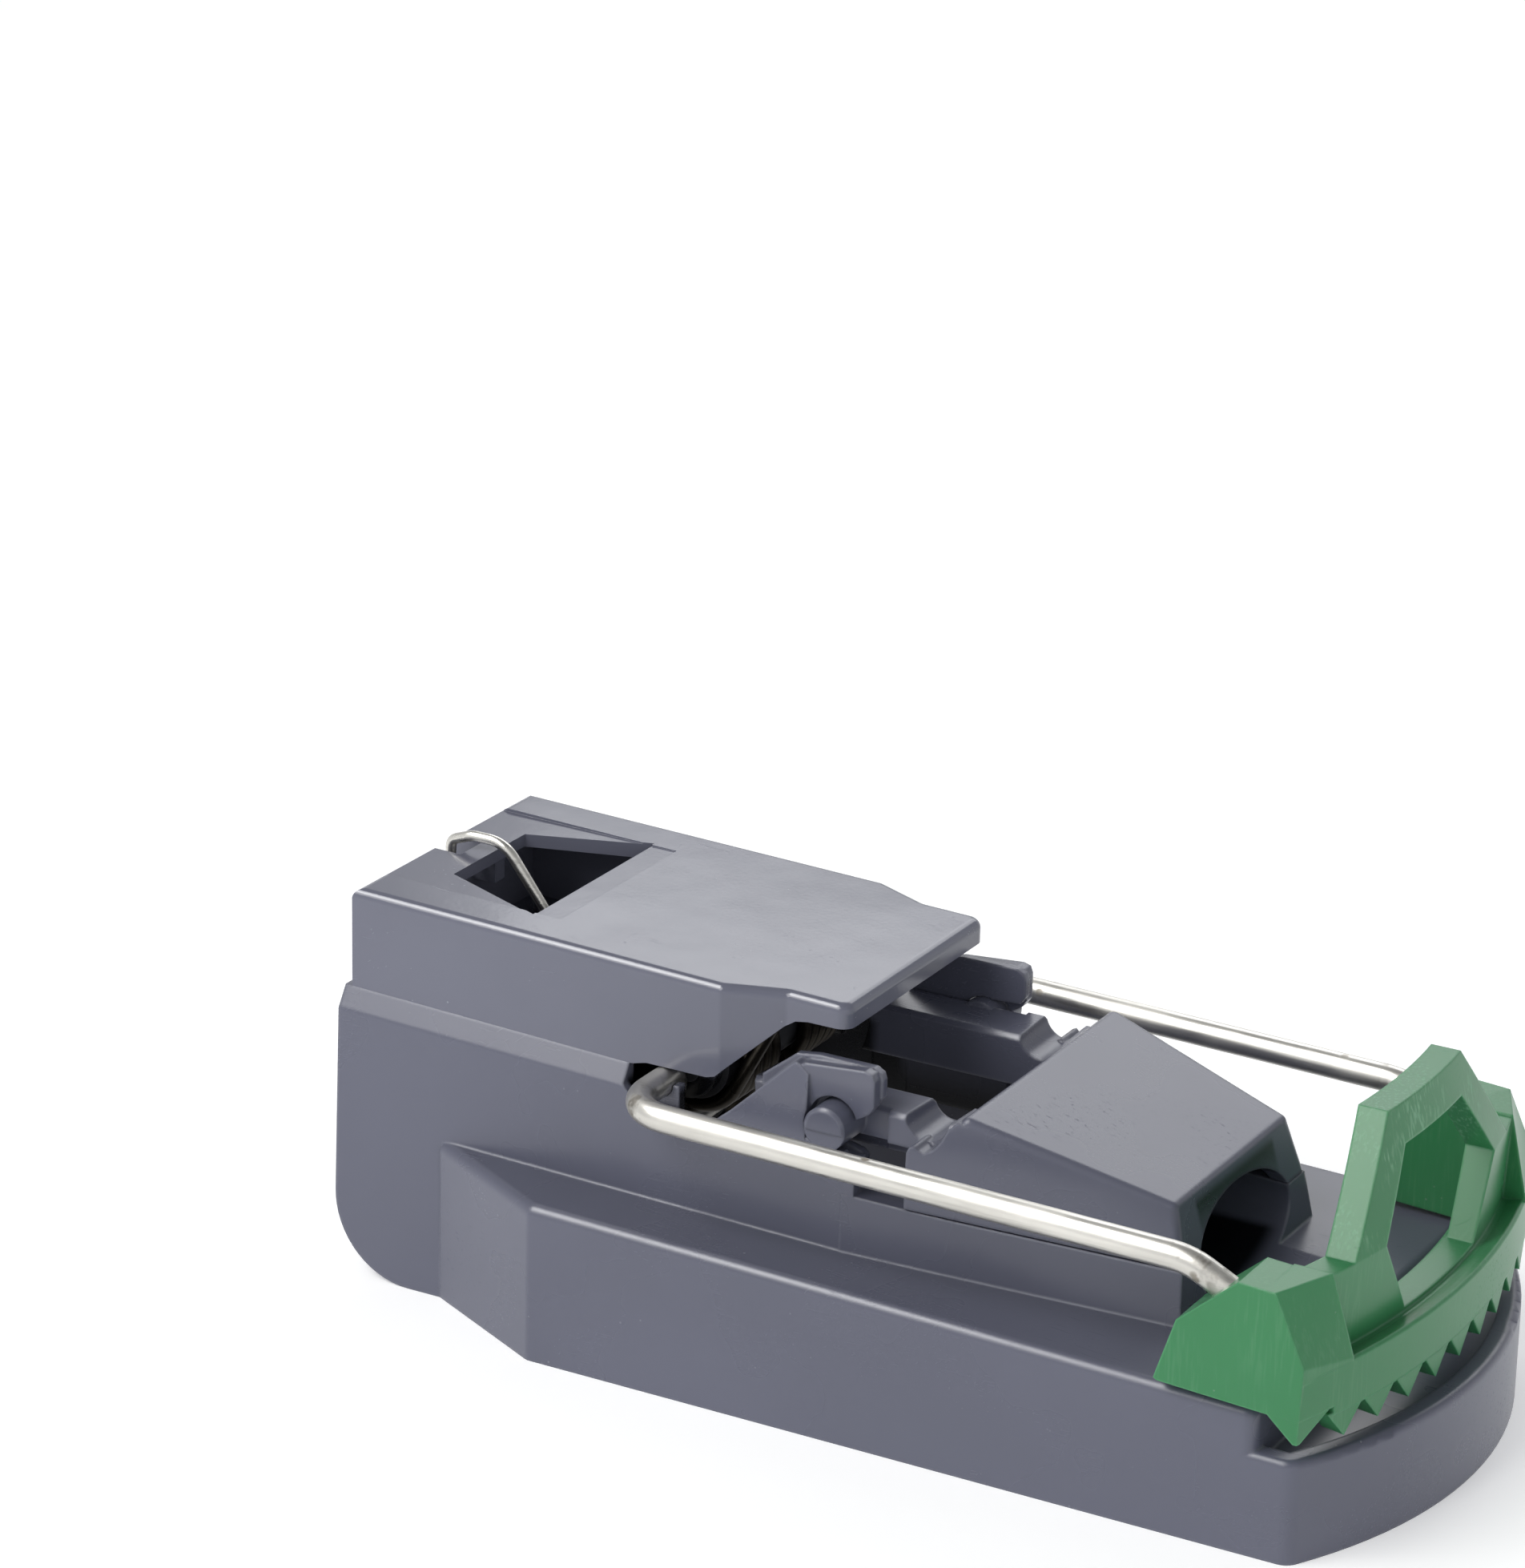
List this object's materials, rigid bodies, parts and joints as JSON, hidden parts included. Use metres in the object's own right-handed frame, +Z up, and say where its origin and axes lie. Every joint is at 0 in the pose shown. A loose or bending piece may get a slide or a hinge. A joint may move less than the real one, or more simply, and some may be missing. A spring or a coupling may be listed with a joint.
{
  "type": "snap mouse trap",
  "caption": "Snap trap with a moulded base, glossy cover, toothed jaw on a sprung wire striker, and a treadle over a bait tunnel.",
  "frame": {"origin": "middle of the footprint, on the table", "axes": "+Z up, -Y towards the jaw, +X across the width"},
  "size_m": [0.0498, 0.1052, 0.0382],
  "materials": {
    "grey_plastic": "satin moulded",
    "cover_plastic": "gloss moulded",
    "green_plastic": "semi-gloss moulded",
    "bright_wire": "drawn",
    "spring_wire": "oiled",
    "dark_plastic": "matte moulded"
  },
  "bodies": {
    "base": {"base_shell": "grey_plastic", "top_cover": "cover_plastic", "torsion_spring": "spring_wire", "spring_spindle": "dark_plastic"},
    "striker": {"striker_wire": "bright_wire", "jaw": "green_plastic", "spring_loop": "spring_wire"},
    "treadle": {"treadle": "grey_plastic"},
    "lock_wire": {"lock_wire": "bright_wire"},
    "bait_cup": {"bait_cup": "dark_plastic"}
  },
  "joints": [
    {"name": "striker_hinge", "type": "hinge", "parent": "base", "child": "striker", "pos_m": [0, 0.0195, 0.0254], "axis": [-1, 0, 0], "range_deg": [0, 93], "stiffness_Nm_per_rad": 0.12, "springref_deg": -91.67},
    {"name": "treadle_hinge", "type": "hinge", "parent": "base", "child": "treadle", "pos_m": [0, 0.0024, 0.0254], "axis": [-1, 0, 0], "range_deg": [0, 3]},
    {"name": "lock_wire_hinge", "type": "hinge", "parent": "base", "child": "lock_wire", "pos_m": [0, 0.0493, 0.0342], "axis": [-1, 0, 0], "range_deg": [0, 26.5]},
    {"name": "bait_cup_twist", "type": "hinge", "parent": "base", "child": "bait_cup", "pos_m": [0, -0.0175, 0.0025], "axis": [0, 0, -1], "range_deg": [0, 60]}
  ],
  "couplings": [
    {"joint": "lock_wire_hinge", "follows": "striker_hinge", "ratio": 0.28}
  ]
}
